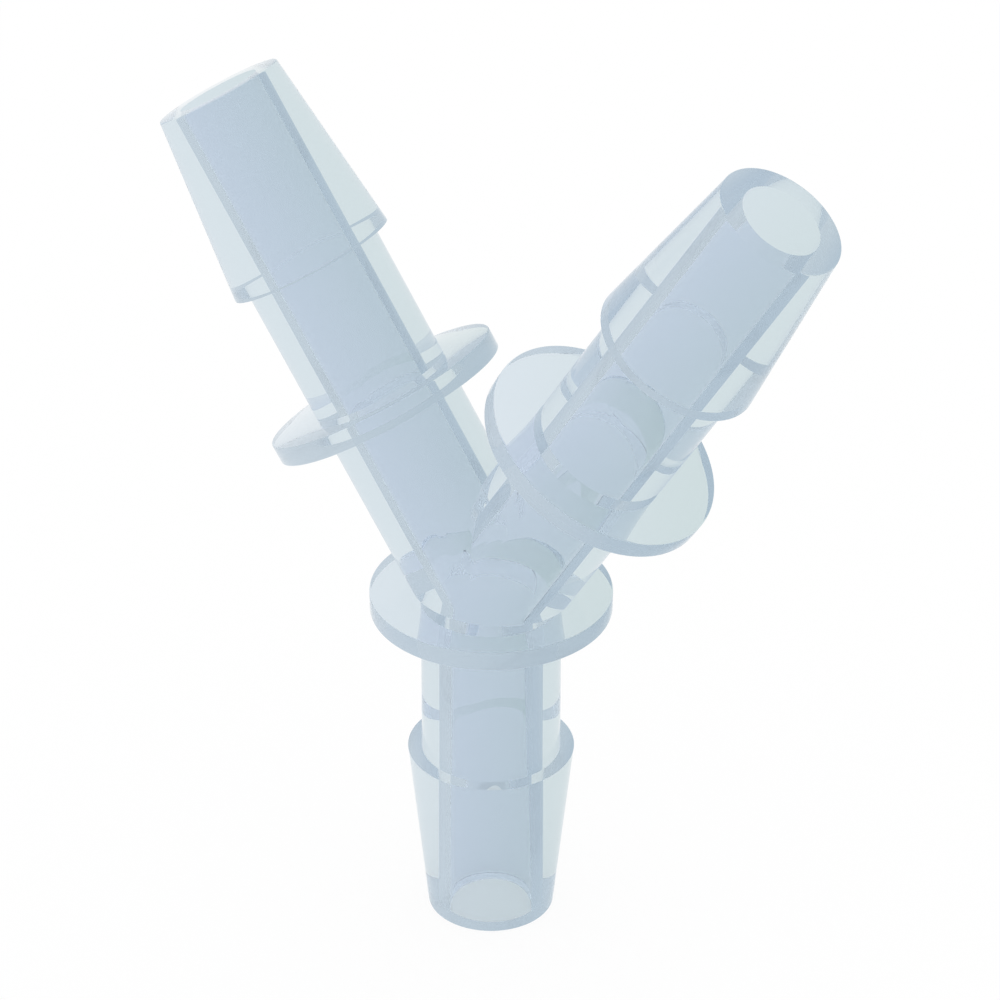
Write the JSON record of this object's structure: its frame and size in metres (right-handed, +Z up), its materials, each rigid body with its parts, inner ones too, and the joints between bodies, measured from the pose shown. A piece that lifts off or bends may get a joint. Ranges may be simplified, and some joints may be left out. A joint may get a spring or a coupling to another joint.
{
  "type": "tubing y connector",
  "caption": "Y-shaped moulded hose barb connector, translucent polypropylene, for flexible tubing, with a flange behind each barb and open bores that meet at the junction.",
  "frame": {"origin": "centre of the stem's flat tip, on the floor it stands on", "axes": "+Z up along the stem's axis, arms spread to +X and -X in the XZ plane, +Y through the thickness"},
  "size_m": [0.0478, 0.0164, 0.0599],
  "materials": {
    "natural_polypropylene": "translucent, smooth moulded"
  },
  "bodies": {
    "root": {"y_connector_body": "natural_polypropylene"}
  },
  "joints": []
}
